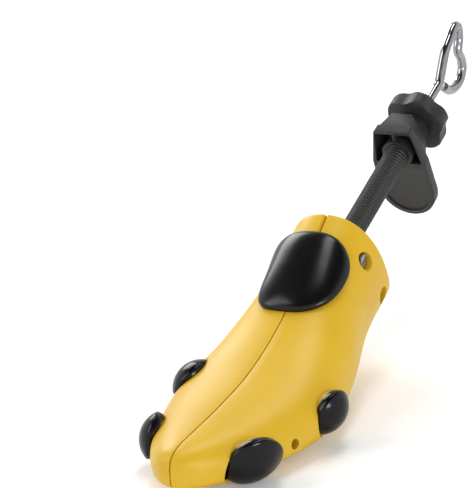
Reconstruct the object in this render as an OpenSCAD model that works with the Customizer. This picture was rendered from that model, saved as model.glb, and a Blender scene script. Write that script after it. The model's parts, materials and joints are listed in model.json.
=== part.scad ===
// Shoe stretcher: a split foot last on a threaded tube, with a heel block, a length knob and a hook handle.
// The toe points to -Y, the hook to +Y, and the flat sole lies at z = 0. Millimetres.

/* [Foot last] */
// Length of the last, from the toe tip to the neck's rear face
last_l = 177; // [165:1:190]
// Width over the ball of the foot
ball_w = 80; // [76:1:86]
// Width of the neck at its rear face
neck_w = 49; // [47:1:55]
// Height of the neck's top edge above the sole
neck_top = 78; // [76:1:82]
// Height of the neck's lower edge above the sole
neck_floor = 27; // [25:1:29]
// Distance from the toe tip back to the origin, the middle of the flat sole
toe_reach = 56; // [40:1:70]
// Wall of the moulded halves
wall = 2.6; // [2:0.1:3]
// Seam between the closed halves
seam = 0.6; // [0.4:0.1:1]

/* [Pressure plugs] */
// Radius of the large plug at the front of the right flank
big_plug_r = 14; // [12:0.5:15]
// Radius of the three other plugs
plug_r = 11.2; // [9:0.2:12]
// Height of a plug's dome above its seat
plug_h = 6.8; // [5:0.2:8]
// Thickness of a plug's straight rim
plug_rim = 1; // [0.6:0.1:1.5]
// Radius of the plug holes
plug_hole_r = 2.5; // [2:0.1:3]
// Depth of the bosses behind the plug holes
plug_boss_l = 7; // [6:0.5:9]

/* [Instep saddle] */
// Reach of the saddle to the right of the seam
saddle_w = 20.5; // [18:0.5:22]
// Reach of the saddle to the left of the seam
saddle_left_w = 22.5; // [20:0.5:23]
// Thickness of the saddle
saddle_t = 4; // [3:0.2:5]
// Radius of the post that guides the saddle
post_r = 3; // [2.6:0.1:3.2]

/* [Tube and spindle] */
// Tilt of the tube above the sole
rod_tilt = 21; // [15:1:25]
// Height of the tube's axis above the middle of the neck's rear face
rod_rise = 1.5; // [0:0.5:3]
// Length of the tube behind the neck
tube_out = 113; // [108:1:125]
// Outer radius of the tube, over the thread
tube_r = 6; // [5.8:0.1:6.2]
// Depth of the tube's thread
thread_h = 0.5; // [0.3:0.1:0.7]
// Pitch of the tube's thread
thread_p = 2; // [1.6:0.2:3]
// Radius of the handle's round bar
bar_r = 2.5; // [2:0.1:2.6]
// Radial clearance of the running fits
fit = 0.08; // [0.04:0.01:0.1]

/* [Heel block and knob] */
// Distance from the neck's rear face to the heel block's front face
heel_at = 76; // [74:1:80]
// Half width of the heel block's top edge
heel_top_w = 10; // [9:0.5:11]
// Height of the heel block's top edge above the tube's axis
heel_top = 14.8; // [13:0.2:16]
// Radius of the heel block's round lower end
heel_r = 15; // [14:0.5:17]
// Distance of the lower end's centre below the tube's axis
heel_drop = 23.7; // [21:0.1:27]
// Depth of the heel block's plate
heel_t = 5; // [4:0.5:7]
// Wall of the heel block's hood
hood_wall = 2; // [1.6:0.1:2.4]
// Outer radius of the heel block's sleeve
sleeve_r = 8; // [7.8:0.1:8.4]
// Length of the heel block's sleeve up to the knob
sleeve_l = 22.7; // [19:0.1:24]
// Radius over the knob's lobes
knob_r = 16.5; // [15:0.5:18]
// Length of the knob
knob_l = 9; // [8:0.5:16]
// Number of lobes on the knob
lobes = 6; // [5:1:8]

/* [Spreader] */
// Travel of each half to the side
spread = 5; // [3:0.5:5]
// Radius of the spring recesses in the neck
recess_r = 4.4; // [4:0.1:4.8]
// Radius of the spring wire
wire_r = 0.3; // [0.25:0.05:0.4]
// Number of curls in each spring
curls = 4; // [3:1:5]

/* [Hidden] */
$fn = 64;

yellow = [0.87, 0.70, 0.20];
charcoal = [0.20, 0.20, 0.20];
black = [0.06, 0.06, 0.06];
steel = [0.75, 0.75, 0.77];

half_gap = seam / 2;
// Small gap that seats one piece on another
seat = 0.1;
// Overlap that joins the solids of one piece
bite = 0.5;

// Cross sections from the toe to the neck.
// Share of the length, half width, top, bottom and lean of the section
sections = [
    [0, 1.2, 15, 9, 0],
    [0.01, 6.5, 20, 7, 0],
    [0.05, 14, 23.5, 4, 0],
    [0.14, 24, 25, 1, 0],
    [0.285, 34, 27, -0.5, 0],
    [0.46, ball_w / 2, 31.5, -0.4, 6],
    [0.655, 34.5, 43, 5.5, 12],
    [0.835, 26.5, 61, 16.5, 17],
    [1, neck_w / 2, neck_top, neck_floor, rod_tilt]];
last_section = len(sections) - 1;
// Share of a section's height where it is widest, and the roundness above and below
belly = 0.38;
round_top = 2.3;
round_sole = 2.7;

neck_mid = (neck_top + neck_floor) / 2;
rod_z = neck_mid + rod_rise;
rod_y = last_l - toe_reach - rod_rise * tan(rod_tilt);

function pick(i) = sections[max(0, min(last_section, i))];
function before(i) = i > 0 ? pick(i - 1) : 2 * pick(0) - pick(1);
function after(i) = i < last_section ? pick(i + 1) : 2 * pick(last_section) - pick(last_section - 1);
function curve(a, b, c, d, t) = b + t * ((c - a) / 2 + t * (a - 2.5 * b + 2 * c - d / 2
    + t * (1.5 * (b - c) + (d - a) / 2)));
// Section at u, which counts the sections along a smooth curve
function section(u) =
    let(i = min(floor(u), last_section - 1))
    curve(before(i), pick(i), pick(i + 1), after(i + 1), u - i);
function signed_pow(v, p) = sign(v) * pow(abs(v), p);
// Point of the skin: u along the last, a around it from the sole at -90 to the ridge at 90, inset by a wall
function skin(u, a, inset = 0, wide = 0) =
    let(s = section(u), w = s[1] - inset + wide, top = s[2] - inset, low = s[3] + inset)
    let(mid = low + (top - low) * belly, r = a > 0 ? round_top : round_sole)
    let(x = w * pow(max(0, cos(a)), 2 / r))
    let(z = mid + (a > 0 ? top - mid : mid - low) * signed_pow(sin(a), 2 / r))
    [x, s[0] * last_l - toe_reach + tan(s[4]) * ((top + low) / 2 - z), z];
// Outward direction of the skin
function skin_normal(u, a, wide = 0) =
    let(d = 0.02, along = skin(min(u + d, last_section), a, 0, wide) - skin(u - d, a, 0, wide))
    let(n = cross(along, skin(u, a + 1, 0, wide) - skin(u, a - 1, 0, wide)))
    n / norm(n);
// Angle around the section at u whose skin lies at height z
function angle_at(u, z, lo = -90, hi = 90, n = 16) =
    n == 0 ? (lo + hi) / 2
    : skin(u, (lo + hi) / 2)[2] < z ? angle_at(u, z, (lo + hi) / 2, hi, n - 1)
    : angle_at(u, z, lo, (lo + hi) / 2, n - 1);
// Place along the last where the skin reaches distance y from the toe at height z
function along_at(y, z, lo = 1, hi = last_section, n = 14) =
    let(u = (lo + hi) / 2)
    n == 0 ? u
    : skin(u, angle_at(u, z))[1] < y - toe_reach ? along_at(y, z, u, hi, n - 1)
    : along_at(y, z, lo, u, n - 1);
function skin_at(y, z) = let(u = along_at(y, z)) skin(u, angle_at(u, z));

module side(s) {
    mirror([s < 0 ? 1 : 0, 0, 0]) children();
}

module along_rod(t = 0, q = 0) {
    translate([0, rod_y, rod_z]) rotate([rod_tilt, 0, 0]) translate([0, t, q]) children();
}

// Cylinder along the rod, from t = 0
module bar(r, l) {
    rotate([-90, 0, 0]) cylinder(r = r, h = l);
}

// Cylinder to the side, from x = a to x = b
module cross_bar(r, a, b) {
    translate([a, 0, 0]) rotate([0, 90, 0]) cylinder(r = r, h = b - a);
}

// Ring around an axis along the rod
module collar(outer, inner, l) {
    difference() {
        bar(outer, l);
        translate([0, -1, 0]) bar(inner, l + 2);
    }
}

// Pressure plugs: side, distance from the toe, height, turn about z and tilt of the seat,
// depth of the seat, radius
plug_front_right_seat = [1, 30.3, 10.5, -37.5, -28, 0.8, big_plug_r];
plug_rear_right_seat = [1, 82.4, 14.7, -9.5, -17.5, 0.6, plug_r];
plug_front_left_seat = [-1, 36.5, 13.8, -17, 14, 0.2, plug_r];
plug_rear_left_seat = [-1, 85.8, 22.5, 1, 42, 1.3, plug_r];
plug_seats = [plug_front_right_seat, plug_rear_right_seat, plug_front_left_seat, plug_rear_left_seat];
// Middle plug holes, empty: distance from the toe, height, turn and tilt
spare_hole = [53.8, 10.4, -15, 3.5];
stem_l = 6;
seat_boss_l = 5;
pocket_h = 9;
pocket_flare = 5;

// Foot last: each half is a hollow moulding, cut flat at the sole and square to the tube at the neck.
skin_steps = 7;
skin_sides = 26;
cavity_steps = 4;
cavity_sides = 14;
cavity_start = 2.3;
// Closed half solid between the seam plane at x = edge and the skin
module half_solid(inset, edge, first, steps, sides) {
    rings = ceil((last_section - first) * steps);
    loop = sides + 1;
    points = [for (i = [0:rings])
        let(u = first + (last_section - first) * i / rings, w = section(u)[1] - inset)
        for (k = [0:sides])
            let(p = skin(u, -90 + 180 * k / sides, inset))
            [edge + p[0] * (w - edge) / w, p[1], p[2]]];
    count = len(points) / loop;
    quads = [for (i = [0:count - 2]) for (k = [0:loop - 1])
        let(a = i * loop + k, b = i * loop + (k + 1) % loop)
        each [[a, b, b + loop], [a, b + loop, a + loop]]];
    ends = [[for (k = [loop - 1:-1:0]) k], [for (k = [0:loop - 1]) (count - 1) * loop + k]];
    polyhedron(points, concat(quads, ends), convexity = 6);
}

// Moves to a seat on the right flank, with z out of the skin
module on_seat(y, z, turn, tilt, sink) {
    translate(skin_at(y, z)) rotate([0, 90 - tilt, turn]) translate([0, 0, -sink]) children();
}

module on_plug(p) {
    on_seat(p[1], p[2], p[3], p[4], p[5]) children();
}

// Places of the cross screws, the guide pins and the ramps' pads along the rod and above it
screw_seats = [[-12.2, 8.7], [-9.7, -15]];
pin_seats = [[-31, -8], [-21, -12]];
pad_seats = [-51, -61];
core_w = 8.7;
boss_gap = 0.3;
recess_floor = 2;
recess_at = core_w + boss_gap + recess_floor;
head_t = 2;
head_r = 3.2;
// Room for the spring at full spread, with its curls closed
spring_room = 0.6;
head_at = recess_at + spread + 2 * wire_r * curls + spring_room;
slot_w = 0.8;
slot_depth = 0.6;
shank_r = 1.5;
pin_r = 2;
ramp_out = 20;
pad_r = 4;
post_at = -29;
recess_wall = 1.8;

// Solid left standing inside one half: screw, pin and pad bosses and the plug bosses
module half_bosses(s) {
    for (p = screw_seats)
        along_rod(p[0], p[1]) cross_bar(recess_r + recess_wall, core_w + boss_gap, ball_w);
    for (p = pin_seats)
        along_rod(p[0], p[1]) cross_bar(pin_r + recess_wall, core_w + boss_gap, ball_w);
    for (t = pad_seats)
        along_rod(t) cross_bar(pad_r, ramp_out + seat, ball_w);
    for (p = plug_seats)
        if (p[0] == s) on_plug(p) {
            translate([0, 0, -plug_boss_l]) cylinder(r = plug_hole_r + recess_wall, h = plug_boss_l);
            translate([0, 0, -wall]) cylinder(r = p[6] - 1, h = wall);
        }
    on_seat(spare_hole[0], spare_hole[1], spare_hole[2], spare_hole[3], 0)
        translate([0, 0, -plug_boss_l]) cylinder(r = plug_hole_r + recess_wall, h = plug_boss_l);
}

module half_mesh(s) {
    resize([0, 0, 0]) intersection() {
        difference() {
            union() {
                half_solid(0, half_gap, 0, skin_steps, skin_sides);
                for (p = plug_seats)
                    if (p[0] == s) on_plug(p)
                        translate([0, 0, -seat_boss_l])
                            cylinder(r1 = p[6] - 1, r2 = p[6] - 3, h = seat_boss_l, $fn = 40);
            }
            difference() {
                translate([0, -wall * cos(rod_tilt), -wall * sin(rod_tilt)]) cavity();
                half_bosses(s, $fn = 32);
            }
            for (p = plug_seats)
                if (p[0] == s) on_plug(p) {
                    cylinder(r1 = p[6] + 0.3, r2 = p[6] + pocket_flare, h = pocket_h, $fn = 48);
                    translate([0, 0, -plug_boss_l - 1])
                        cylinder(r = plug_hole_r, h = 2 * plug_boss_l, $fn = 32);
                }
            along_rod(-wall - 1) bar(tube_r + boss_gap, wall + 2, $fn = 48);
            along_rod(post_at) cylinder(r = post_r + 0.6, h = neck_top, $fn = 32);
            for (p = screw_seats)
                along_rod(p[0], p[1]) cross_bar(recess_r, recess_at, ball_w, $fn = 40);
            for (t = pad_seats)
                along_rod(t) cross_bar(shank_r + seat, ramp_out, ramp_out + pad_screw_l + 1, $fn = 24);
        }
        translate([half_gap, -last_l, 0]) cube([last_l, 2 * last_l, last_l]);
    }
}

module cavity() {
    half_solid(wall, -1, cavity_start, cavity_steps, cavity_sides);
}

module half_shell(s) {
    difference() {
        half_mesh(s);
        for (p = screw_seats)
            along_rod(p[0], p[1]) cross_bar(shank_r + fit, core_w, recess_at + 1);
        for (p = pin_seats)
            along_rod(p[0], p[1]) cross_bar(pin_r + fit, core_w, pin_reach + 1);
        on_seat(spare_hole[0], spare_hole[1], spare_hole[2], spare_hole[3], 0)
            translate([0, 0, -plug_boss_l - 1]) cylinder(r = plug_hole_r, h = 2 * plug_boss_l);
    }
}

module shell_left() {
    color(yellow) side(-1) half_shell(-1);
}

module shell_right() {
    color(yellow) half_shell(1);
}

// Plug: a domed cap whose stem is pressed into its hole
module plug(p) {
    cap_h = plug_h - plug_rim;
    ball_r = (p[6] * p[6] + cap_h * cap_h) / (2 * cap_h);
    edge = asin(p[6] / ball_r);
    color(black) side(p[0]) on_plug(p) rotate_extrude($fn = 72)
        polygon(concat([[0, -stem_l], [plug_hole_r - 0.4, -stem_l], [plug_hole_r - 0.05, -stem_l + 0.8],
            [plug_hole_r - 0.05, 0], [p[6], 0]],
            [for (a = [0:9]) let(f = edge * (1 - a / 9))
                [ball_r * sin(f), plug_rim + ball_r * cos(f) - (ball_r - cap_h)]]));
}

// Instep saddle: a moulded cover on the two halves' shoulders, lifted as they spread
saddle_front = 6.2;
saddle_rear = 7.62;
saddle_gap = 0.3;
saddle_round = 2.3;
saddle_square = 3;
// How much wider the saddle's left side is at the rear
saddle_flare = 2.5;
// How much flatter the saddle lies than the closed halves, so that it clears them as they spread
saddle_wide = 2.2;
saddle_steps = 48;
saddle_rings = [0, 0.25, 0.5, 0.7, 0.84, 0.93, 0.98, 1];
saddle_under = [1, 0.88, 0.74, 0.58, 0.4, 0.2, 0];
// Skin point under the saddle, r from its centre to its edge, f around it, lifted off the skin
function saddle_point(r, f, lift) =
    let(c = cos(f), s = sin(f), n = s > 0 ? saddle_square : saddle_round)
    let(e = pow(pow(abs(c), n) + pow(abs(s), n), -1 / n))
    let(u = (saddle_front + saddle_rear) / 2 + (saddle_rear - saddle_front) / 2 * r * e * s)
    let(w = c < 0 ? saddle_left_w + saddle_flare * s : saddle_w, x = w * r * e * c)
    let(a = acos(pow(abs(x) / (section(u)[1] + saddle_wide), round_top / 2)))
    let(p = skin(u, a, 0, saddle_wide), n = skin_normal(u, min(a, 89), saddle_wide))
    let(m = c < 0 ? -1 : 1)
    [m * (p[0] + lift * (a > 88 ? 0 : n[0])), p[1] + lift * n[1], p[2] + lift * n[2]];
module saddle_cover() {
    points = concat(
        [saddle_point(0, 90, saddle_gap + saddle_t)],
        [for (i = [1:len(saddle_rings) - 1]) for (k = [0:saddle_steps - 1])
            let(r = saddle_rings[i], rise = sqrt(max(0, 1 - pow(r, 5))))
            saddle_point(r, 360 * k / saddle_steps, saddle_gap + 0.8 + (saddle_t - 0.8) * rise)],
        [for (i = [0:len(saddle_under) - 2]) for (k = [0:saddle_steps - 1])
            saddle_point(saddle_under[i], 360 * k / saddle_steps, saddle_gap)],
        [saddle_point(0, 90, saddle_gap)]);
    n = saddle_steps;
    loops = len(saddle_rings) - 1 + len(saddle_under) - 1;
    tail = 1 + loops * n;
    faces = concat(
        [for (k = [0:n - 1]) [0, 1 + (k + 1) % n, 1 + k]],
        [for (i = [0:loops - 2]) for (k = [0:n - 1])
            let(a = 1 + i * n + k, b = 1 + i * n + (k + 1) % n)
            each [[a, b, b + n], [a, b + n, a + n]]],
        [for (k = [0:n - 1]) [tail, 1 + (loops - 1) * n + k, 1 + (loops - 1) * n + (k + 1) % n]]);
    polyhedron(points, faces, convexity = 4);
}
post_low = 4;
screw_r = 1.2;
function rod_t(p) = (p[1] - rod_y) * cos(rod_tilt) + (p[2] - rod_z) * sin(rod_tilt);
function rod_q(p) = (p[2] - rod_z) * cos(rod_tilt) - (p[1] - rod_y) * sin(rod_tilt);
// Height above the tube's axis at which the ridge of the last crosses the post
function ridge_q(t, lo = 5, hi = last_section, n = 14) =
    let(u = (lo + hi) / 2, p = skin(u, 90))
    n == 0 ? rod_q(p)
    : rod_t(p) < t ? ridge_q(t, u, hi, n - 1)
    : ridge_q(t, lo, u, n - 1);
post_top = ridge_q(post_at) + saddle_gap + saddle_t / 2;
module instep_saddle() {
    color(black) difference() {
        union() {
            saddle_cover();
            along_rod(post_at, post_low) cylinder(r = post_r, h = post_top - post_low);
        }
        along_rod(post_at, post_low - 1) cylinder(r = screw_r, h = 7);
    }
}

// Stop screw in the post's foot, which keeps the saddle from lifting off
module saddle_screw() {
    color(steel) along_rod(post_at, post_low) {
        translate([0, 0, -0.7]) cylinder(r = post_r - 0.4, h = 0.7);
        cylinder(r = screw_r - 0.05, h = 5.5);
    }
}

// Core block inside the neck: it holds the tube, the screws and the pins, and guides the saddle's post
core_front = -36;
core_rear = -wall - 0.8;
socket_l = 16.6;
core_top = 11;
core_low = -15;
tower_at = -16.5;
tower_top = 13.5;
tower_low = -19.5;
pin_reach = 15;
module core_block() {
    color(charcoal) difference() {
        union() {
            along_rod() translate([-core_w, core_front, core_low])
                cube([2 * core_w, core_rear - core_front, core_top - core_low]);
            along_rod() translate([-core_w, tower_at, tower_low])
                cube([2 * core_w, core_rear - tower_at, tower_top - tower_low]);
        }
        along_rod(core_front - 1) bar(bar_r + fit, core_rear - core_front + 2);
        along_rod(core_rear - socket_l) bar(tube_r, socket_l + 1);
        along_rod(post_at, 3.2) cylinder(r = post_r + fit, h = neck_top);
        for (p = screw_seats)
            along_rod(p[0], p[1]) cross_bar(shank_r, -core_w - 1, core_w + 1);
        for (p = pin_seats)
            along_rod(p[0], p[1]) cross_bar(pin_r, -core_w - 1, core_w + 1);
        along_rod(tube_pin_at, core_low - 1) cylinder(r = tube_pin_r, h = core_top - core_low + 2);
    }
}

// Threaded tube: plain in the core block, threaded behind the neck
tube_in = core_rear - socket_l;
tube_pin_at = -7;
tube_pin_r = 1.2;
thread_from = 3;
module threaded_tube() {
    turns = floor((tube_out - thread_from - 1) / thread_p);
    root = tube_r - thread_h;
    color(charcoal) difference() {
        along_rod(tube_in) rotate([-90, 0, 0]) rotate_extrude($fn = 48)
            polygon(concat([[bar_r + fit, 0], [tube_r, 0], [tube_r, thread_from - tube_in]],
                [for (i = [0:turns - 1]) for (k = [0, 1])
                    let(z = thread_from - tube_in + (i + 0.5 + k / 2) * thread_p)
                    [k == 0 ? root : tube_r, z]],
                [[root, tube_out - tube_in], [bar_r + fit, tube_out - tube_in]]));
        for (s = [-1, 1])
            along_rod(tube_pin_at, s > 0 ? 0 : -core_w - 3) cylinder(r = tube_pin_r, h = core_w + 3);
    }
}

// Two short pins that lock the tube in the core block, above and below the spindle
module tube_pin() {
    from = bar_r + 0.5;
    color(steel) for (s = [0, 1])
        along_rod(tube_pin_at) rotate([180 * s, 0, 0]) translate([0, 0, from])
            cylinder(r = tube_pin_r - 0.02, h = (s == 0 ? core_top : -core_low) - from - 0.2);
}

module guide_pins() {
    color(steel) for (p = pin_seats)
        along_rod(p[0], p[1]) cross_bar(pin_r, -pin_reach, pin_reach);
}

// Cross screws: each holds a spring that pulls its half against the core block
module spring_screws(s) {
    color(steel) side(s) for (p = screw_seats)
        along_rod(p[0], p[1]) difference() {
            union() {
                cross_bar(shank_r, 3, head_at + 0.5);
                cross_bar(head_r, head_at, head_at + head_t);
            }
            translate([head_at + head_t, 0, 0]) cube([2 * slot_depth, 2 * head_r + 1, slot_w], center = true);
        }
}

// Spring round a cross screw: one unbroken tube of wire
spring_r = 2.55;
spring_rings = 8;
wire_sides = 6;
spring_end_gap = 0.15;
spring_from = recess_at + wire_r + spring_end_gap;
spring_to = head_at - wire_r - spring_end_gap;
module spring_coil() {
    n = curls * spring_rings;
    centres = [for (i = [0:n]) let(a = 360 * i / spring_rings)
        [spring_from + (spring_to - spring_from) * i / n, spring_r * cos(a), spring_r * sin(a)]];
    points = [for (i = [0:n]) for (k = [0:wire_sides - 1])
        let(a = 360 * i / spring_rings, b = 360 * k / wire_sides, out = [0, cos(a), sin(a)])
        centres[i] + wire_r * (cos(b) * out + sin(b) * [1, 0, 0])];
    quads = [for (i = [0:n - 1]) for (k = [0:wire_sides - 1])
        let(a = i * wire_sides + k, b = i * wire_sides + (k + 1) % wire_sides)
        each [[a, b + wire_sides, b], [a, a + wire_sides, b + wire_sides]]];
    polyhedron(points, concat(quads, [[for (k = [0:wire_sides - 1]) k]],
        [[for (k = [wire_sides - 1:-1:0]) n * wire_sides + k]]));
    gaps = [for (i = [0:n - spring_rings]) norm(centres[i + spring_rings] - centres[i]) - 2 * wire_r];
    echo(spring_gap = min(gaps));
}
module springs(s) {
    color(steel) side(s) for (p = screw_seats)
        along_rod(p[0], p[1]) spring_coil();
}

// Wedge nut on the spindle's screw, and the ramps that it spreads
wedge_l = 20;
wedge_rear = -44;
wedge_w = 14;
wedge_h = 14;
slope = 0.5;
module wedge_nut() {
    color(charcoal) difference() {
        along_rod(wedge_rear) translate([0, 0, -wedge_h / 2]) linear_extrude(wedge_h)
            polygon([[-wedge_w, 0], [-wedge_w + slope * wedge_l, -wedge_l],
                [wedge_w - slope * wedge_l, -wedge_l],
                [wedge_w, 0]]);
        along_rod(wedge_rear - wedge_l - 1) bar(bar_r + fit, wedge_l + 2);
    }
}

ramp_from = -66;
ramp_to = -46;
module ramp(s) {
    near = wedge_w + seat + slope * (ramp_from - wedge_rear);
    far = wedge_w + seat + slope * (ramp_to - wedge_rear);
    color(charcoal) side(s) difference() {
        along_rod() translate([0, 0, -wedge_h / 2]) linear_extrude(wedge_h)
            polygon([[near, ramp_from], [ramp_out, ramp_from], [ramp_out, ramp_to], [far, ramp_to]]);
        for (t = pad_seats)
            along_rod(t) {
                cross_bar(shank_r, 0, ramp_out + 1);
                cross_bar(head_r + 0.2, 0, ramp_out - 3);
            }
    }
}

// Screws that hold a ramp to the pads inside its half
pad_screw_l = 5;
module ramp_screws(s) {
    color(steel) side(s) for (t = pad_seats)
        along_rod(t) {
            cross_bar(head_r, ramp_out - 3 - 2, ramp_out - 3);
            cross_bar(shank_r, ramp_out - 3 - bite, ramp_out + pad_screw_l);
        }
}

// Hook handle: one polished bar, its loop in the upright plane through the tube.
// Distance behind the neck, height
spindle_from = -77;
loop_start = 131;
hook_line = [[loop_start - bite, 0], [loop_start + 3, 0.3], [141.5, 5.6], [148, 10], [155.5, 12.2],
    [162.5, 14],
    [166.6, 11.5], [165, 5.5], [160.8, 0.3], [162, -5.5], [160.6, -11], [155, -14.4], [148, -14],
    [141.5, -10.4],
    [137.6, -5]];
hook_steps = 5;
hook_sides = 14;
// The bent length is drawn a little thinner than the straight one
loop_r = bar_r - 0.04;
function hook_pick(i) = i < 0 ? 2 * hook_line[0] - hook_line[1]
    : i > len(hook_line) - 1 ? 2 * hook_line[len(hook_line) - 1] - hook_line[len(hook_line) - 2]
    : hook_line[i];
function hook_at(u) = let(i = min(floor(u), len(hook_line) - 2))
    curve(hook_pick(i - 1), hook_pick(i), hook_pick(i + 1), hook_pick(i + 2), u - i);
module hook_loop() {
    last = len(hook_line) - 1;
    n = last * hook_steps;
    points = [for (i = [0:n])
        let(u = i / hook_steps, p = hook_at(u), d = hook_at(min(u + 0.01, last)) - hook_at(max(u - 0.01, 0)))
        let(m = [-d[1], d[0]] / norm(d))
        for (k = [0:hook_sides - 1])
            let(b = 360 * k / hook_sides)
            [loop_r * cos(b), p[0] + loop_r * sin(b) * m[0], p[1] + loop_r * sin(b) * m[1]]];
    quads = [for (i = [0:n - 1]) for (k = [0:hook_sides - 1])
        let(a = i * hook_sides + k, b = i * hook_sides + (k + 1) % hook_sides)
        each [[a, b, b + hook_sides], [a, b + hook_sides, a + hook_sides]]];
    polyhedron(points, concat(quads, [[for (k = [hook_sides - 1:-1:0]) k]],
        [[for (k = [0:hook_sides - 1]) n * hook_sides + k]]), convexity = 6);
}
module hook_spindle() {
    color(steel) along_rod() {
        translate([0, spindle_from, 0]) bar(bar_r, loop_start - spindle_from);
        hook_loop();
    }
}

washer_t = 1;
collar_l = 4;
washer_at = core_front - seat - washer_t;
module thrust_washer() {
    color(steel) along_rod(washer_at) collar(bar_r + 3.5, bar_r + fit, washer_t);
}
module spindle_collar() {
    color(steel) along_rod(washer_at - seat - collar_l) collar(bar_r + 3, bar_r, collar_l);
}

// Heel block: a plate that bears on the shoe's heel, with a hood round the sleeve that runs on the tube
corner_r = 1.5;
shoulder_r = 3;
shoulder_w = 14.4;
shoulder_at = -5;
hood_floor = -7;
hood_l = 15;
hood_rear_w = 5.5;
hood_rib = 1.6;
panel_rim = 2.2;
panel_sink = 1;
nose_l = 5;
module heel_outline(inset = 0) {
    hull() {
        for (s = [-1, 1]) {
            translate([s * (heel_top_w - corner_r), heel_top - corner_r - inset]) circle(corner_r);
            translate([s * (shoulder_w - shoulder_r - inset), shoulder_at]) circle(shoulder_r);
        }
        translate([0, -heel_drop]) circle(heel_r - inset);
    }
}

// Slice of the heel's outline across the rod
module heel_slice(t, l, inset = 0) {
    along_rod(t + l) rotate([90, 0, 0]) linear_extrude(l) heel_outline(inset);
}

module above(q, t, l) {
    along_rod(t, q) translate([-ball_w / 2, 0, 0]) cube([ball_w, l, ball_w]);
}

module below(q, t, l) {
    along_rod(t, q - ball_w) translate([-ball_w / 2, 0, 0]) cube([ball_w, l, ball_w]);
}

// Hood from the plate back to the sleeve, drawn in by a wall
module hood(inset) {
    hull() {
        intersection() {
            heel_slice(heel_at, 1, inset);
            above(hood_floor + inset, heel_at - 1, 3);
        }
        along_rod(heel_at + hood_l - 1 - inset) {
            bar(sleeve_r + 1.5 - inset, 1);
            translate([-hood_rear_w + inset, 0, 0])
                cube([2 * (hood_rear_w - inset), 1, heel_top - 0.4 - inset]);
        }
    }
}

module heel_block() {
    color(charcoal) difference() {
        union() {
            difference() {
                union() {
                    heel_slice(heel_at, heel_t);
                    hood(0);
                }
                translate([0, -0.1, 0]) hood(hood_wall);
                intersection() {
                    heel_slice(heel_at - 1, panel_sink + 1, panel_rim);
                    below(hood_floor - panel_rim + 0.5, heel_at - 2, 4);
                }
            }
            along_rod(heel_at) bar(sleeve_r, sleeve_l + nose_l);
            along_rod(heel_at + 1) translate([-hood_rib / 2, 0, sleeve_r - 1])
                cube([hood_rib, hood_l - 4, heel_top - sleeve_r]);
        }
        along_rod(heel_at - 1) bar(tube_r + fit, sleeve_l + nose_l + 2);
        along_rod(heel_at + sleeve_l + ring_at) collar(sleeve_r + 1, sleeve_r - ring_groove, ring_t + 0.2);
    }
}

// Length knob: it turns on the tube's thread and carries the heel block, held on its nose by a snap ring
ring_at = 2.4;
ring_t = 1;
ring_groove = 0.6;
lip_t = 1.9;
knob_gap = 0.3;
lobe_h = 2.5;
knob_bevel = 1.6;
lobe_turn = -11;
knob_room = nose_l + 0.4;
module knob_body() {
    intersection() {
        linear_extrude(knob_l) polygon([for (k = [0:119])
            let(a = 3 * k, r = knob_r - lobe_h * (1 - cos(lobes * (a - lobe_turn))) / 2)
            r * [cos(a), sin(a)]]);
        rotate_extrude($fn = 72) polygon([[0, 0], [knob_r - knob_bevel, 0],
            [knob_r - knob_bevel / 3, knob_bevel / 3],
            [knob_r, knob_bevel], [knob_r, knob_l - knob_bevel],
            [knob_r - knob_bevel / 3, knob_l - knob_bevel / 3],
            [knob_r - knob_bevel, knob_l], [0, knob_l]]);
    }
}
module length_knob() {
    color(charcoal) along_rod(heel_at + sleeve_l + knob_gap) rotate([-90, 0, 0]) difference() {
        knob_body();
        translate([0, 0, -1]) cylinder(r = tube_r + fit, h = knob_l + 2);
        translate([0, 0, -1]) cylinder(r = sleeve_r + fit, h = knob_room + 1);
        translate([0, 0, lip_t]) cylinder(r = sleeve_r + 1.6, h = knob_room - lip_t);
    }
}

module knob_ring() {
    color(steel) along_rod(heel_at + sleeve_l + ring_at + 0.1)
        collar(sleeve_r + 1.2, sleeve_r - ring_groove + 0.05, ring_t);
}

shell_left();
shell_right();
ramp(-1);  // ramp_left
ramp(1);  // ramp_right
ramp_screws(-1);  // ramp_screws_left
ramp_screws(1);  // ramp_screws_right
plug(plug_front_left_seat);  // plug_front_left
plug(plug_front_right_seat);  // plug_front_right
plug(plug_rear_left_seat);  // plug_rear_left
plug(plug_rear_right_seat);  // plug_rear_right
instep_saddle();
saddle_screw();
core_block();
threaded_tube();
tube_pin();
guide_pins();
spring_screws(-1);  // spring_screws_left
spring_screws(1);  // spring_screws_right
springs(-1);  // springs_left
springs(1);  // springs_right
hook_spindle();
spindle_collar();
thrust_washer();
wedge_nut();
heel_block();
length_knob();
knob_ring();
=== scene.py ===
# Shoe stretcher: split foot last with pressure plugs and an instep saddle, on a threaded tube
# with a heel block, a length knob and a hook handle. Toe to -Y, hook to +Y, sole at z = 0.
# Sizes are in millimetres, scaled to metres.
import json
import math

import bpy
from mathutils import Matrix, Vector


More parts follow.
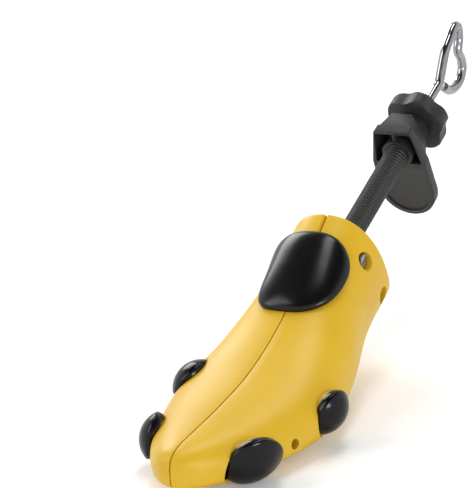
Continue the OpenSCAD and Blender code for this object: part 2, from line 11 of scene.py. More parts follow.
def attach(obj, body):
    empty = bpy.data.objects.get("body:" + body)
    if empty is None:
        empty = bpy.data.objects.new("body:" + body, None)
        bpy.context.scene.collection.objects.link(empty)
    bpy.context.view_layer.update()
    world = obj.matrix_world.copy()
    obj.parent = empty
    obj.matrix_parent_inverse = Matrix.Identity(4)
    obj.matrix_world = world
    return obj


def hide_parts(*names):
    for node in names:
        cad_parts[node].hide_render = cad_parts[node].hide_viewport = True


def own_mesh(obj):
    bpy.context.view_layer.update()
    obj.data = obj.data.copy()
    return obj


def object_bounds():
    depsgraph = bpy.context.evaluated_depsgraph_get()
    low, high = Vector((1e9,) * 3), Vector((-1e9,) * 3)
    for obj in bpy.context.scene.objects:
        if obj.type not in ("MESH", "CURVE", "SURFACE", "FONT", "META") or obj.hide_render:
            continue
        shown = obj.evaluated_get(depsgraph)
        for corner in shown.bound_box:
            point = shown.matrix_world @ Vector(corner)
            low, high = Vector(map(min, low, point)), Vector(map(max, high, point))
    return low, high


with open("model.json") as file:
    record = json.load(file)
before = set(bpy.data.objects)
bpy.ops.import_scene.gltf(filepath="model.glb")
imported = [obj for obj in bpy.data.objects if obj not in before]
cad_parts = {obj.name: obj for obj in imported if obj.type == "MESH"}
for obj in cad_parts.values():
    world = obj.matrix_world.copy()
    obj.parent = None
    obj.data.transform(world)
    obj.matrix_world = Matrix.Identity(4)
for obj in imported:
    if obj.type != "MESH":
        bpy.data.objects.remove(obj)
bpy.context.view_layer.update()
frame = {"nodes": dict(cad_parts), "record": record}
nodes = frame["nodes"]
print("frame loaded:", len(nodes), "nodes")

mm = 0.001


# materials, one for each finish of the object


def linear(hexText):
    values = [int(hexText[i : i + 2], 16) / 255 for i in (1, 3, 5)]
    return [v / 12.92 if v <= 0.04045 else ((v + 0.055) / 1.055) ** 2.4 for v in values] + [1]


def addNode(tree, kind, inputs=None, **settings):
    node = tree.nodes.new(kind)
    for key, value in settings.items():
        setattr(node, key, value)
    for key, value in (inputs or {}).items():
        if isinstance(value, bpy.types.NodeSocket):
            tree.links.new(value, node.inputs[key])
        else:
            node.inputs[key].default_value = value
    return node


def newMaterial(name):
    material = bpy.data.materials.new(name)
    material.use_nodes = True
    tree = material.node_tree
    shader = next(n for n in tree.nodes if n.type == "BSDF_PRINCIPLED")
    place = addNode(tree, "ShaderNodeTexCoord").outputs["Object"]
    return material, tree, shader, place


def ramp(tree, factor, low, high, start=0.3, end=0.7):
    node = addNode(tree, "ShaderNodeValToRGB", {"Fac": factor})
    node.color_ramp.elements[0].position = start
    node.color_ramp.elements[1].position = end
    node.color_ramp.elements[0].color = low
    node.color_ramp.elements[1].color = high
    return node.outputs["Color"]


def spread(tree, factor, low, high):
    inputs = {"Value": factor, "To Min": low, "To Max": high}
    return addNode(tree, "ShaderNodeMapRange", inputs).outputs["Result"]


def noise(tree, place, size, detail=3.0, roughness=0.5):
    inputs = {"Vector": place, "Scale": 1 / (size * mm), "Detail": detail, "Roughness": roughness}
    return addNode(tree, "ShaderNodeTexNoise", inputs).outputs["Fac"]


def bump(tree, shader, height, strength, depth):
    node = addNode(tree, "ShaderNodeBump", {"Height": height, "Strength": strength, "Distance": depth * mm})
    tree.links.new(node.outputs["Normal"], shader.inputs["Normal"])


def wire(tree, shader, **sockets):
    names = {"color": "Base Color", "roughness": "Roughness"}
    for key, socket in sockets.items():
        tree.links.new(socket, shader.inputs[names[key]])


def yellowAbs():
    # ABS, injection moulded in a fine spark-eroded tool: satin, with broad soft highlights
    # and a faint flow mottle
    material, tree, shader, place = newMaterial("yellow moulded ABS")
    flow = noise(tree, place, 34, 2.0)
    wire(tree, shader, color=ramp(tree, flow, linear("#DDB01B"), linear("#E2B826")))
    wire(tree, shader, roughness=spread(tree, noise(tree, place, 9, 4.0), 0.34, 0.44))
    shader.inputs["IOR"].default_value = 1.53
    shader.inputs["Specular IOR Level"].default_value = 0.35
    # the skin's grain is 0.3 mm: drawn coarser to show
    bump(tree, shader, noise(tree, place, 0.9, 2.0), 0.10, 0.05)
    return material


def blackPolystyrene():
    # high-impact polystyrene, polished tool: hard gloss with slight shrink waves
    material, tree, shader, place = newMaterial("black gloss polystyrene")
    wire(tree, shader, color=ramp(tree, noise(tree, place, 12, 2.0), linear("#0A0A0B"), linear("#101011")))
    wire(tree, shader, roughness=spread(tree, noise(tree, place, 4, 4.0), 0.12, 0.18))
    shader.inputs["IOR"].default_value = 1.59
    # the soot-filled skin reflects a little less than clear polymer
    shader.inputs["Specular IOR Level"].default_value = 0.2
    bump(tree, shader, noise(tree, place, 5, 1.0), 0.06, 0.08)
    return material


def blackAbs():
    # ABS, half-polished tool: a softer gloss, with fine rubbing marks from shoe leather along the foot
    material, tree, shader, place = newMaterial("black satin ABS")
    stretched = addNode(tree, "ShaderNodeMapping", {"Vector": place, "Scale": (3, 1, 1)}).outputs["Vector"]
    rubbed = noise(tree, stretched, 7, 5.0, 0.6)
    wire(tree, shader, color=ramp(tree, rubbed, linear("#0A0A0B"), linear("#0E0E0F")))
    wire(tree, shader, roughness=spread(tree, rubbed, 0.2, 0.25))
    shader.inputs["IOR"].default_value = 1.53
    shader.inputs["Specular IOR Level"].default_value = 0.3
    bump(tree, shader, noise(tree, place, 1.2, 2.0), 0.05, 0.05)
    return material


def charcoalNylon():
    # glass-filled nylon, textured tool: matte charcoal with a fine pebble grain
    material, tree, shader, place = newMaterial("charcoal glass-filled nylon")
    cloud = noise(tree, place, 6, 4.0, 0.6)
    wire(tree, shader, color=ramp(tree, cloud, linear("#262626"), linear("#2E2E2D")))
    wire(tree, shader, roughness=spread(tree, cloud, 0.42, 0.56))
    shader.inputs["IOR"].default_value = 1.53
    shader.inputs["Specular IOR Level"].default_value = 0.4
    bump(tree, shader, noise(tree, place, 0.6, 2.0), 0.18, 0.06)
    return material


def greyAcetal():
    # acetal slides inside the last: waxy dark grey
    material, tree, shader, place = newMaterial("dark grey acetal")
    wire(tree, shader, color=ramp(tree, noise(tree, place, 5, 3.0), linear("#4A4A4B"), linear("#545455")))
    shader.inputs["Roughness"].default_value = 0.36
    shader.inputs["IOR"].default_value = 1.48
    bump(tree, shader, noise(tree, place, 1.0, 2.0), 0.05, 0.04)
    return material


def chromedSteel():
    # nickel-chromed round bar, buffed: bright mirror with faint draw lines and softer spots
    material, tree, shader, place = newMaterial("chromed steel bar")
    wire(tree, shader, color=ramp(tree, noise(tree, place, 10, 2.0), linear("#97989B"), linear("#A6A7A9")))
    wire(tree, shader, roughness=spread(tree, noise(tree, place, 3, 5.0), 0.08, 0.16))
    shader.inputs["Metallic"].default_value = 1.0
    bump(tree, shader, noise(tree, place, 2.5, 2.0), 0.05, 0.05)
    return material


def zincedSteel():
    # bright zinc-plated screws and pins: grey metal, slightly frosted, with a mottled passivation
    material, tree, shader, place = newMaterial("zinc-plated steel")
    mottle = noise(tree, place, 1.5, 5.0, 0.65)
    wire(tree, shader, color=ramp(tree, mottle, linear("#8E9093"), linear("#A9ABAC")))
    wire(tree, shader, roughness=spread(tree, mottle, 0.24, 0.4))
    shader.inputs["Metallic"].default_value = 1.0
    return material


materials = {
    "last": yellowAbs(),
    "plug": blackPolystyrene(),
    "saddle": blackAbs(),
    "dark_moulding": charcoalNylon(),
    "inner_moulding": greyAcetal(),
    "hook": chromedSteel(),
    "steel": zincedSteel(),
}
for part in frame["record"]["subparts"]:
    mesh = nodes[part["node"]].data
    mesh.materials.clear()
    mesh.materials.append(materials[part["material_slot"]])
print("materials made")


# what every piece is made with


def only(obj):
    if bpy.context.object and bpy.context.object.mode == "EDIT":
        bpy.ops.object.mode_set(mode="OBJECT")
    bpy.ops.object.select_all(action="DESELECT")
    obj.select_set(True)
    bpy.context.view_layer.objects.active = obj


def editing(obj, wanted=None, mode="VERT"):
    # enters edit mode with the elements that wanted() picks, or everything
    only(obj)
    bpy.ops.object.mode_set(mode="EDIT")
    bpy.ops.mesh.select_mode(type=mode)
    bpy.ops.mesh.select_all(action="DESELECT" if wanted else "SELECT")
    if wanted:
        bpy.ops.object.mode_set(mode="OBJECT")
        for item in {"VERT": obj.data.vertices, "EDGE": obj.data.edges}[mode]:
            item.select = wanted(item)
        bpy.ops.object.mode_set(mode="EDIT")


def objectMode():
    bpy.ops.object.mode_set(mode="OBJECT")


def grid(name, cellsU, cellsV, place, weld=True):
    # a grid whose vertices go to place(u, v), both 0 to 1: for lofted skins that no operator draws
    bpy.ops.object.select_all(action="DESELECT")
    bpy.ops.mesh.primitive_grid_add(x_subdivisions=cellsU, y_subdivisions=cellsV, size=1, location=(0, 0, 0))
    obj = bpy.context.object
    obj.name = name
    for vertex in obj.data.vertices:
        vertex.co = Vector(place(vertex.co.x + 0.5, vertex.co.y + 0.5)) * mm
    if weld:
        editing(obj)
        bpy.ops.mesh.remove_doubles(threshold=0.0005 * mm)
        bpy.ops.mesh.normals_make_consistent(inside=False)
        objectMode()
    return obj


def turned(name, profile, around=96):
    # a closed solid of revolution about Z from (radius, height) points
    steps = len(profile) - 1

    def place(u, v):
        r, h = profile[round(v * steps)]
        return r * math.cos(2 * math.pi * u), r * math.sin(2 * math.pi * u), h

    return grid(name, around, steps, place)


def settle(obj, matrix=None):
    only(obj)
    if matrix is not None:
        obj.matrix_world = matrix
    bpy.ops.object.transform_apply(location=True, rotation=True, scale=True)
    return obj


def modify(obj, kind, **settings):
    only(obj)
    modifier = obj.modifiers.new(kind.title(), kind)
    for key, value in settings.items():
        setattr(modifier, key, value)
    bpy.ops.object.modifier_apply(modifier=modifier.name)
    return obj


def combine(obj, tool, operation):
    modify(obj, "BOOLEAN", object=tool, operation=operation, solver="MANIFOLD")
    bpy.data.objects.remove(tool)


def weldTogether(obj, *others):
    only(obj)
    for other in others:
        other.select_set(True)
    bpy.ops.object.join()
    return obj


def nodeCopy(name, newName):
    obj = bpy.data.objects.new(newName, nodes[name].data.copy())
    bpy.context.scene.collection.objects.link(obj)
    editing(obj)
    bpy.ops.mesh.remove_doubles(threshold=0.002 * mm)
    objectMode()
    return obj


def finishPiece(obj, slot, body, *replaced, smooth=32):
    only(obj)
    bpy.ops.object.shade_smooth_by_angle(angle=math.radians(smooth))
    obj.data.materials.clear()
    obj.data.materials.append(materials[slot])
    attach(obj, body)
    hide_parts(*replaced)
    print("piece:", obj.name, len(obj.data.polygons), "faces")
    return obj


# the shape of the foot last: rings of a superellipse along the foot
# "groove" is the radius of the wider seam groove behind the saddle, "grooveFrom" its start in sections

last = {
    "length": 177,
    "ballWidth": 80,
    "neckWidth": 49,
    "neckTop": 78,
    "neckFloor": 27,
    "toeReach": 56,
    "wall": 2.6,
    "seam": 0.6,
    "rings": 104,
    "around": 40,
    "seamBevel": 0.35,
    "neckBevel": 0.7,
    "groove": 1.0,
    "grooveFrom": 7.4,
}
rodTilt = math.radians(21)
sections = [  # share of the length, half width, top, bottom, lean
    (0, 1.2, 15, 9, 0),
    (0.01, 6.5, 20, 7, 0),
    (0.05, 14, 23.5, 4, 0),
    (0.14, 24, 25, 1, 0),
    (0.285, 34, 27, -0.5, 0),
    (0.46, last["ballWidth"] / 2, 31.5, -0.4, 6),
    (0.655, 34.5, 43, 5.5, 12),
    (0.835, 26.5, 61, 16.5, 17),
    (1, last["neckWidth"] / 2, last["neckTop"], last["neckFloor"], 21),
]
lastSection = len(sections) - 1
belly, roundTop, roundSole = 0.38, 2.3, 2.7
rodRise = 1.5
rodZ = (last["neckTop"] + last["neckFloor"]) / 2 + rodRise
rodY = last["length"] - last["toeReach"] - rodRise * math.tan(rodTilt)
rodMatrix = Matrix.Translation((0, rodY * mm, rodZ * mm)) @ Matrix.Rotation(rodTilt, 4, "X")
alongRod = rodMatrix @ Matrix.Rotation(-math.pi / 2, 4, "X")  # a tool's Z axis becomes the tube's axis


def pick(i):
    if i < 0:
        return [2 * a - b for a, b in zip(sections[0], sections[1])]
    if i > lastSection:
        return [2 * a - b for a, b in zip(sections[-1], sections[-2])]
    return sections[i]


def curve(a, b, c, d, t):
    return b + t * ((c - a) / 2 + t * (a - 2.5 * b + 2 * c - d / 2 + t * (1.5 * (b - c) + (d - a) / 2)))


def section(u):
    i = min(int(u), lastSection - 1)
    ring = [curve(*four, u - i) for four in zip(pick(i - 1), pick(i), pick(i + 1), pick(i + 2))]
    if u < 1:  # the nose is a parabola, so the halves meet without a ridge
        ring[0] = sections[1][0] * (ring[1] / sections[1][1]) ** 2
    return ring


def signedPower(v, p):
    return math.copysign(abs(v) ** p, v)


def skin(u, degrees, inset=0.0, wide=0.0):
    s = section(u)
    w, top, low = s[1] - inset + wide, s[2] - inset, s[3] + inset
    middle = low + (top - low) * belly
    a = math.radians(degrees)
    r = roundTop if degrees > 0 else roundSole
    x = w * max(0.0, math.cos(a)) ** (2 / r)
    z = middle + ((top - middle) if degrees > 0 else (middle - low)) * signedPower(math.sin(a), 2 / r)
    lean = math.tan(math.radians(s[4]))
    return Vector((x, s[0] * last["length"] - last["toeReach"] + lean * ((top + low) / 2 - z), z))


def skinNormal(u, degrees, wide=0.0):
    along = skin(min(u + 0.02, lastSection), degrees, 0, wide) - skin(u - 0.02, degrees, 0, wide)
    return along.cross(skin(u, degrees + 1, 0, wide) - skin(u, degrees - 1, 0, wide)).normalized()


def angleAt(u, z):
    low, high = -90.0, 90.0
    for _ in range(24):
        middle = (low + high) / 2
        low, high = (middle, high) if skin(u, middle).z < z else (low, middle)
    return (low + high) / 2


def skinAt(y, z):
    low, high = 1.0, float(lastSection)
    for _ in range(24):
        middle = (low + high) / 2
        before = skin(middle, angleAt(middle, z)).y < y - last["toeReach"]
        low, high = (middle, high) if before else (low, middle)
    u = (low + high) / 2
    return skin(u, angleAt(u, z))


def seatMatrix(y, z, turn, tilt, sink):
    turned = Matrix.Rotation(math.radians(turn), 4, "Z") @ Matrix.Rotation(math.radians(90 - tilt), 4, "Y")
    return Matrix.Translation(skinAt(y, z) * mm) @ turned @ Matrix.Translation((0, 0, -sink * mm))


def halfBlank(name, inset, edge, first, rings, around):
    # closed half of the last, between the seam plane at x = edge and the skin

    def place(u, v):
        at = first + (lastSection - first) * u
        w = section(at)[1] - inset
        p = skin(at, -90 + 180 * v, inset)
        return edge + p.x * (w - edge) / w, p.y, max(p.z, 0.0)

    obj = grid(name, rings, around, place, weld=False)
    ends = {}
    for vertex in obj.data.vertices:
        ends.setdefault(vertex.index % (rings + 1), []).append(vertex.index)
    for ring in (0, rings):
        wanted = set(ends[ring])
        editing(obj, lambda vertex: vertex.index in wanted)
        bpy.ops.mesh.edge_face_add()
        objectMode()
    editing(obj)
    bpy.ops.mesh.select_all(action="DESELECT")
    bpy.ops.mesh.select_non_manifold(extend=False, use_boundary=True)
    bpy.ops.mesh.edge_face_add()
    bpy.ops.mesh.select_all(action="SELECT")
    bpy.ops.mesh.normals_make_consistent(inside=False)
    objectMode()
    return obj


# cutters for holes, seats and bosses


def rod(radius, start, end, matrix, tip=None, sides=64):
    # cylinder or cone from start to end along a matrix's Z axis
    bpy.ops.object.select_all(action="DESELECT")
    middle = Matrix.Translation((0, 0, (start + end) / 2 * mm))
    tip = radius if tip is None else tip
    bpy.ops.mesh.primitive_cone_add(
        vertices=sides, radius1=radius * mm, radius2=tip * mm, depth=(end - start) * mm
    )
    obj = bpy.context.object
    return settle(obj, matrix @ middle)


def crossRod(radius, start, end, t, q=0.0, sides=48):
    matrix = rodMatrix @ Matrix.Translation((0, t * mm, q * mm)) @ Matrix.Rotation(math.pi / 2, 4, "Y")
    return rod(radius, start, end, matrix, sides=sides)


plugSeats = {  # distance from the toe, height, turn, tilt, sink, radius
    "front_right": (1, (30.3, 10.5, -37.5, -28, 0.8), 14),
    "rear_right": (1, (82.4, 14.7, -9.5, -17.5, 0.6), 11.2),
    "front_left": (-1, (36.5, 13.8, -17, 14, 0.2), 11.2),
    "rear_left": (-1, (85.8, 22.5, 1, 42, 1.3), 11.2),
}
spareHole = seatMatrix(53.8, 10.4, -15, 3.5, 0)
screwSeats = ((-12.2, 8.7), (-9.7, -15))
pinSeats = ((-31, -8), (-21, -12))
padSeats = (-51, -61)
fittings = {
    "recess": 4.4,
    "recessAt": 11,
    "recessWall": 1.8,
    "coreWidth": 8.7,
    "coreGap": 0.3,
    "plugHole": 2.5,
    "plugHoleDepth": 8,
    "plugHoleOut": 6,
    "bossLength": 7,
    "pin": 2,
    "pinHole": 2.08,
    "holesFrom": 5,
    "pinTo": 16,
    "screwHole": 1.58,
    "screwTo": 20,
    "pad": 4,
    "padFrom": 20.1,
    "tubeHole": 6.3,
    "postHole": 3.6,
    "postHoleTop": 60,
}
seat = {  # the flat under each plug, its boss and the cut that clears the skin above it
    "backing": 1,
    "boss": 3.5,
    "bossDepth": 5,
    "clearance": 0.06,
    "cutHeight": 9,
    "cutFlare": 5,
    "around": 96,
}
cavity = {"from": 2.3, "rings": 40, "around": 28, "past": -1}
postAt = -29


def lastHalf(side):
    seats = [(seatMatrix(*place), radius) for s, place, radius in plugSeats.values() if s == side]
    word = "right" if side > 0 else "left"
    inner = fittings["coreWidth"] + fittings["coreGap"]
    boss = fittings["recessWall"]
    far = last["ballWidth"]
    wall, hole = last["wall"], fittings["plugHole"]
    depth, out = -fittings["plugHoleDepth"], fittings["plugHoleOut"]
    hollow = halfBlank("hollow", wall, cavity["past"], cavity["from"], cavity["rings"], cavity["around"])
    settle(hollow, Matrix.Translation((0, -wall * math.cos(rodTilt) * mm, -wall * math.sin(rodTilt) * mm)))
    for t, q in screwSeats:
        combine(hollow, crossRod(fittings["recess"] + boss, inner, far, t, q), "DIFFERENCE")
    for t, q in pinSeats:
        combine(hollow, crossRod(fittings["pin"] + boss, inner, far, t, q), "DIFFERENCE")
    for t in padSeats:
        combine(hollow, crossRod(fittings["pad"], fittings["padFrom"], far, t), "DIFFERENCE")
    for matrix, radius in seats + [(spareHole, None)]:
        combine(hollow, rod(hole + boss, -fittings["bossLength"], 0, matrix), "DIFFERENCE")
        if radius:
            combine(hollow, rod(radius - seat["backing"], -wall, 0, matrix), "DIFFERENCE")

    obj = halfBlank("lastHalf" + word.title(), 0, last["seam"] / 2, 0, last["rings"], last["around"])
    edge = last["seam"] / 2 * mm
    points = obj.data.vertices
    front = min(point.co.y for point in points)

    def seamEdge(item):
        ends = [points[i].co for i in item.vertices]
        return all(abs(end.x - edge) < 1e-6 for end in ends) and max(end.y for end in ends) > front + 1e-6

    editing(obj, seamEdge, "EDGE")
    bpy.ops.mesh.bevel(offset=last["seamBevel"] * mm, segments=3, affect="EDGES")
    objectMode()
    normal = (rodMatrix.to_3x3() @ Vector((0, 1, 0))).normalized()
    neckEnd = max(point.co.dot(normal) for point in obj.data.vertices)
    points = obj.data.vertices

    def neckEdge(item):
        return all(neckEnd - points[i].co.dot(normal) < 1e-6 for i in item.vertices) and item.index in outline

    outline = set()
    for polygon in obj.data.polygons:
        if all(neckEnd - points[i].co.dot(normal) < 1e-6 for i in polygon.vertices):
            keys = set(polygon.edge_keys)
            outline |= {item.index for item in obj.data.edges if item.key in keys}
    editing(obj, neckEdge, "EDGE")
    bpy.ops.mesh.bevel(offset=last["neckBevel"] * mm, segments=3, affect="EDGES")
    objectMode()
    for matrix, radius in seats:
        block = rod(radius - seat["boss"], -seat["bossDepth"], 0, matrix, sides=seat["around"])
        combine(obj, block, "UNION")
    combine(obj, hollow, "DIFFERENCE")
    for matrix, radius in seats:
        start, tip = radius + seat["clearance"], radius + seat["cutFlare"]
        clear = rod(start, 0, seat["cutHeight"], matrix, tip=tip, sides=seat["around"])
        combine(obj, clear, "DIFFERENCE")
        combine(obj, rod(hole, depth, out, matrix), "DIFFERENCE")
    combine(obj, rod(hole, depth, out, spareHole), "DIFFERENCE")
    rise = skin(lastSection, 90) - skin(last["grooveFrom"], 90)
    along = rise.to_track_quat("Z", "Y").to_matrix().to_4x4()
    crest = Matrix.Translation(skin(last["grooveFrom"], 90) * mm) @ along
    combine(obj, rod(last["groove"], 0, rise.length + 4, crest, sides=32), "DIFFERENCE")
    combine(obj, rod(fittings["tubeHole"], -wall - 1, 1, alongRod), "DIFFERENCE")
    post = rodMatrix @ Matrix.Translation((0, postAt * mm, 0))
    combine(obj, rod(fittings["postHole"], 0, fittings["postHoleTop"], post), "DIFFERENCE")
    for t, q in screwSeats:
        combine(obj, crossRod(fittings["recess"], fittings["recessAt"], far, t, q), "DIFFERENCE")
        screw = crossRod(fittings["screwHole"], fittings["holesFrom"], fittings["screwTo"], t, q)
        combine(obj, screw, "DIFFERENCE")
    for t, q in pinSeats:
        pin = crossRod(fittings["pinHole"], fittings["holesFrom"], fittings["pinTo"], t, q)
        combine(obj, pin, "DIFFERENCE")
    if side < 0:
        settle(obj, Matrix.Scale(-1, 4, (1, 0, 0)))
        editing(obj)
        bpy.ops.mesh.flip_normals()
        objectMode()
    return finishPiece(obj, "last", "half_" + word, "shell_" + word)


for side in (-1, 1):
    lastHalf(side)


plug = {
    "height": 6.8,
    "rim": 1.0,
    "skirt": 2.6,
    "draw": 0.9,
    "edge": 0.35,
    "stem": 2.45,
    "stemLength": 6,
    "domeSteps": 28,
}


def pressurePlug(key):
    side, place, radius = plugSeats[key]
    cap = plug["height"] - plug["rim"]
    ball = (radius * radius + cap * cap) / (2 * cap)
    edge = math.asin(radius / ball)
    foot, stem, steps = -plug["stemLength"], plug["stem"], plug["domeSteps"]
    base = [(0, foot), (stem - 0.4, foot), (stem, foot + 0.8)]
    base += [(stem, -plug["skirt"]), (radius - plug["draw"] - 0.3, -plug["skirt"])]
    base += [(radius - plug["draw"], 0.3 - plug["skirt"]), (radius, plug["edge"])]
    angles = [edge * (1 - i / steps) for i in range(steps + 1)]
    dome = [(ball * math.sin(a), plug["rim"] + ball * math.cos(a) - ball + cap) for a in angles]
    dome[0] = (radius - 0.12, plug["rim"] - 0.02)
    obj = turned("pressurePlug" + key.title().replace("_", ""), base + [(radius, plug["rim"] - 0.3)] + dome)
    matrix = seatMatrix(*place)
    settle(obj, Matrix.Scale(side, 4, (1, 0, 0)) @ matrix)
    if side < 0:
        editing(obj)
        bpy.ops.mesh.flip_normals()
        objectMode()
    finishPiece(obj, "plug", "half_" + key.split("_")[1], "plug_" + key, smooth=40)


for key in plugSeats:
    pressurePlug(key)


saddle = {
    "front": 6.2,
    "rear": 7.62,
    "right": 20.5,
    "left": 22.5,
    "flare": 2.5,
    "thickness": 4,
    "edge": 0.8,
    "gap": 0.3,
    "wide": 2.2,
    # by right/left and rear/front: high is square
    "corners": {(1, 1): 2.5, (1, -1): 2.3, (-1, 1): 6, (-1, -1): 3.4},
    "waist": 3.6,
    "topSteps": 26,
    "underSteps": 10,
    "around": 112,
    "post": 3,
    "postFrom": 4,
    "postTo": 21.6,
}


def saddlePoint(r, degrees, lift):
    c, s = math.cos(math.radians(degrees)), math.sin(math.radians(degrees))
    power = saddle["corners"][(1 if c >= 0 else -1, 1 if s > 0 else -1)]
    reach = (abs(c) ** power + abs(s) ** power) ** (-1 / power)
    u = (saddle["front"] + saddle["rear"]) / 2 + (saddle["rear"] - saddle["front"]) / 2 * r * reach * s
    flank = saddle["left"] + saddle["flare"] * s - saddle["waist"] * (1 - s * s) if c < 0 else saddle["right"]
    x = flank * r * reach * c
    angle = math.degrees(math.acos((abs(x) / (section(u)[1] + saddle["wide"])) ** (roundTop / 2)))
    point = skin(u, angle, 0, saddle["wide"])
    normal = skinNormal(u, min(angle, 89), saddle["wide"])
    sign = -1 if c < 0 else 1
    x = sign * (point.x + lift * (0 if angle > 88 else normal.x))
    return x, point.y + lift * normal.y, point.z + lift * normal.z


def instepSaddle():
    top, under = saddle["topSteps"], saddle["underSteps"]
    steps = top + under + 1

    def place(u, v):
        i = round(v * steps)
        if i <= top:
            r = math.sin(math.pi / 2 * i / top)
            crown = (saddle["thickness"] - saddle["edge"]) * math.sqrt(max(0, 1 - r**5))
            lift = saddle["gap"] + saddle["edge"] + crown
        else:
            r = 1 - (i - top - 1) / under
            lift = saddle["gap"]
        return saddlePoint(r, 360 * u, lift)

    obj = grid("instepSaddle", saddle["around"], steps, place)
    matrix = rodMatrix @ Matrix.Translation((0, postAt * mm, 0))
    weldTogether(obj, rod(saddle["post"], saddle["postFrom"], saddle["postTo"], matrix))
    finishPiece(obj, "saddle", "saddle", "instep_saddle", smooth=50)


instepSaddle()


tube = {
    "radius": 6,
    "bore": 2.58,
    "threadDepth": 0.5,
    "pitch": 2,
    "from": 3,
    "out": 113,
    "in": -20,
    "around": 64,
    "perPitch": 8,
    "end": 0.6,
}


def threadedTube():
    bore, radius, depth = tube["bore"], tube["radius"], tube["threadDepth"]
    count = int((tube["out"] - tube["from"]) / tube["pitch"] * tube["perPitch"])
    profile = [(bore, tube["in"], 0), (radius, tube["in"], 0), (radius, tube["from"] - 0.5, 0)]
    cutLength = tube["out"] - tube["end"] - tube["from"]
    profile += [(radius, tube["from"] + cutLength * i / count, 1) for i in range(count + 1)]
    profile += [(radius - 0.55, tube["out"], 0), (bore, tube["out"], 0), (bore, tube["in"], 0)]
    steps = len(profile) - 1

    def place(u, v):
        r, h, cut = profile[round(v * steps)]
        if cut:
            phase = (h / tube["pitch"] - u) % 1
            r -= depth * min(1, max(0, 1.6 * abs(2 * phase - 1) - 0.3))
        return r * math.cos(2 * math.pi * u), r * math.sin(2 * math.pi * u), h

    obj = settle(grid("threadedTube", tube["around"], steps, place), alongRod)
    finishPiece(obj, "dark_moulding", "core", "threaded_tube", smooth=40)


threadedTube()


hook = {"radius": 2.5, "from": -77, "resolution": 10}
hookLine = [  # distance behind the neck, height above the tube's axis
    (129, 0),
    (134, 0.3),
    (141.5, 5.6),
    (148, 10),
    (155.5, 12.2),
    (162.5, 14),
    (166.6, 11.5),
    (165, 5.5),
    (160.8, 0.3),
    (162, -5.5),
    (160.6, -11),
    (155, -14.4),
    (148, -14),
    (141.5, -10.4),
    (137.6, -5),
]


def bentWire(name, points, radius, resolution, straight=0):
    # round bar along a smooth line through the points, its first length straight
    bpy.ops.object.select_all(action="DESELECT")
    bpy.ops.curve.primitive_bezier_curve_add(location=(0, 0, 0))
    obj = bpy.context.object
    obj.name = name
    data = obj.data
    data.dimensions = "3D"
    data.bevel_depth = radius * mm
    data.bevel_resolution = 6
    data.resolution_u = resolution
    data.use_fill_caps = True
    data.splines.clear()
    spline = data.splines.new("BEZIER")
    spline.bezier_points.add(len(points) - 1)
    points = [Vector(point) * mm for point in points]
    for i, (knot, point) in enumerate(zip(spline.bezier_points, points)):
        after = points[i + 1] if i + 1 < len(points) else 2 * point - points[i - 1]
        before = points[i - 1] if i > bool(straight) else 2 * point - after
        left = right = (after - before) / 6
        if straight and i < 2:
            run = (points[1] - points[0]).normalized() * straight * mm
            left, right = (left, run) if i == 0 else (run, right)
        knot.handle_left_type = knot.handle_right_type = "FREE"
        knot.co, knot.handle_left, knot.handle_right = point, point - left, point + right
    only(obj)
    bpy.ops.object.convert(target="MESH")
    obj = bpy.context.object
    editing(obj)
    bpy.ops.mesh.remove_doubles(threshold=0.001 * mm)
    bpy.ops.mesh.normals_make_consistent(inside=False)
    objectMode()
    return obj


def hookHandle():
    line = [(0, t, q) for t, q in [(hook["from"], 0)] + hookLine]
    obj = bentWire("hookHandle", line, hook["radius"], hook["resolution"], straight=10)
    settle(obj, rodMatrix)
    modify(obj, "BEVEL", width=0.4 * mm, segments=3, limit_method="ANGLE", angle_limit=math.radians(60))
    finishPiece(obj, "hook", "handle", "hook_spindle", smooth=50)


hookHandle()


coil = {"wire": 0.3, "radius": 2.55, "curls": 4, "from": 11.45, "to": 18.55, "perCurl": 10, "closed": 0.36}


def coilSprings(side, word):
    # return springs on the cross screws: the half presses them shut as it moves out
    count = coil["curls"] * coil["perCurl"]
    coils = []
    for t, q in screwSeats:
        turns = [2 * math.pi * i / coil["perCurl"] for i in range(count + 1)]
        rise = (coil["to"] - coil["from"]) / turns[-1]
        r = coil["radius"]
        line = [(coil["from"] + rise * a, r * math.cos(a), r * math.sin(a)) for a in turns]
        wound = bentWire("coilSprings" + word.title(), line, coil["wire"], 3)
        matrix = Matrix.Scale(side, 4, (1, 0, 0)) @ rodMatrix @ Matrix.Translation((0, t * mm, q * mm))
        coils.append(settle(wound, matrix))
    obj = weldTogether(*coils)
    editing(obj)
    bpy.ops.mesh.normals_make_consistent(inside=False)
    objectMode()
    finishPiece(obj, "steel", "core", "springs_" + word, smooth=60)
    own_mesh(obj)


coilSprings(-1, "left")
coilSprings(1, "right")


edges = {"heel": 0.45, "knob": 0.5}


def softened(node, name, width, slot, body, angle=28):
    # the moulding with its flat faces made whole and its edges rounded
    obj = nodeCopy(node, name)
    editing(obj)
    bpy.ops.mesh.dissolve_limited(angle_limit=math.radians(0.6))
    objectMode()
    modify(obj, "BEVEL", width=width * mm, segments=3, limit_method="ANGLE", angle_limit=math.radians(angle))
    return finishPiece(obj, slot, body, node, smooth=30)


softened("heel_block", "heelBlock", edges["heel"], "dark_moulding", "heel")
softened("length_knob", "lengthKnob", edges["knob"], "dark_moulding", "knob")


# stage, light and camera

low = min(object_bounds()[0].z, 0)
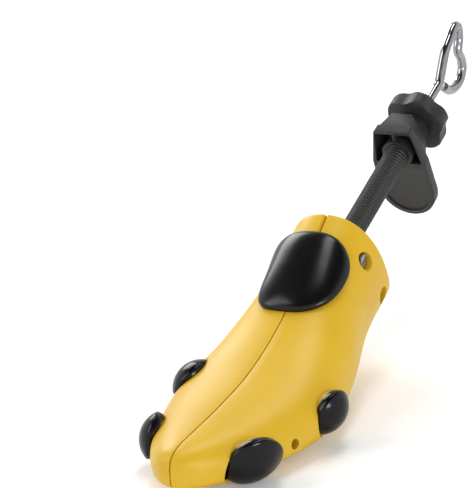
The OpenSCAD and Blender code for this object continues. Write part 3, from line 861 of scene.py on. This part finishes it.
# the paper stays white to the horizon
sweepGlow = {"From Min": 0.4, "From Max": 2.5, "To Min": 0.14, "To Max": 0.8}
bpy.ops.object.select_all(action="DESELECT")
bpy.ops.mesh.primitive_plane_add(size=12, location=(0, 0, low))
floor = bpy.context.object
floor.name = "floor"
floorMaterial, floorTree, floorShader, floorPlace = newMaterial("white paper sweep")
floorShader.inputs["Base Color"].default_value = linear("#FFFFFF")
floorShader.inputs["Roughness"].default_value = 0.9
floorShader.inputs["Emission Color"].default_value = (1, 1, 1, 1)
away = addNode(floorTree, "ShaderNodeVectorMath", {0: floorPlace}, operation="LENGTH").outputs["Value"]
glow = addNode(floorTree, "ShaderNodeMapRange", {"Value": away, **sweepGlow}).outputs["Result"]
cameraRay = addNode(floorTree, "ShaderNodeLightPath").outputs["Is Camera Ray"]
lift = addNode(floorTree, "ShaderNodeMath", {0: cameraRay, 1: glow}, operation="MULTIPLY")
floorTree.links.new(lift.outputs[0], floorShader.inputs["Emission Strength"])
floor.data.materials.append(floorMaterial)

studio = {  # the room is white at eye level, and its ceiling is dark where gloss and chrome mirror it
    "ambient": 0.48,
    "ceiling": {"From Min": 0.42, "From Max": 0.8, "To Min": 1.0, "To Max": 0.05},
}
world = bpy.data.worlds.new("studio")
bpy.context.scene.world = world
world.use_nodes = True
skyTree = world.node_tree
sky = next(n for n in skyTree.nodes if n.type == "BACKGROUND")
path = addNode(skyTree, "ShaderNodeLightPath").outputs
heading = addNode(skyTree, "ShaderNodeTexCoord").outputs["Generated"]
height = addNode(skyTree, "ShaderNodeSeparateXYZ", {"Vector": heading}).outputs["Z"]
smooth = {"interpolation_type": "SMOOTHSTEP"}
room = addNode(skyTree, "ShaderNodeMapRange", {"Value": height, **studio["ceiling"]}, **smooth)
through = {0: path["Is Camera Ray"], 1: path["Is Transmission Ray"]}
plain = addNode(skyTree, "ShaderNodeMath", through, operation="MAXIMUM")
glossy = {"Factor": path["Is Glossy Ray"], "A": studio["ambient"], "B": room.outputs["Result"]}
mirrored = addNode(skyTree, "ShaderNodeMix", glossy)
mixed = {"Factor": plain.outputs[0], "A": mirrored.outputs["Result"], "B": 1.0}
seen = addNode(skyTree, "ShaderNodeMix", mixed)
sky.inputs["Color"].default_value = (1, 1, 1, 1)
skyTree.links.new(seen.outputs["Result"], sky.inputs["Strength"])

lamps = {  # place, width, length, power
    "key": ((-0.9, -0.5, 0.95), 0.5, 0.9, 5),
    "side": ((-0.95, 0.72, 0.72), 0.55, 0.6, 5.5),
    "overhead": ((-0.02, 0.5, 1.25), 0.34, 0.9, 5),
    "fill": ((1.15, -0.55, 0.36), 0.4, 0.3, 5),
}
target = Vector((0, 0.06, 0.04))
for name, (place, width, length, power) in lamps.items():
    lamp = bpy.data.lights.new(name, "AREA")
    lamp.shape = "RECTANGLE"
    lamp.size, lamp.size_y = width, length
    lamp.energy = power
    lampObject = bpy.data.objects.new(name, lamp)
    lampObject.location = place
    lampObject.rotation_euler = (target - Vector(place)).to_track_quat("-Z", "Y").to_euler()
    bpy.context.scene.collection.objects.link(lampObject)

camera = bpy.data.objects.new("camera", bpy.data.cameras.new("camera"))
camera.location = (0.65006, -1.1191, 0.56856)
camera.rotation_euler = [math.radians(v) for v in (70.0913, 4.8172, 27.9584)]
camera.data.lens = 227.025
camera.data.sensor_width = 36
camera.data.clip_start, camera.data.clip_end = 0.05, 30
bpy.context.scene.collection.objects.link(camera)
bpy.context.scene.camera = camera
bpy.context.scene.view_settings.view_transform = "Standard"
print("stage, light and camera set")
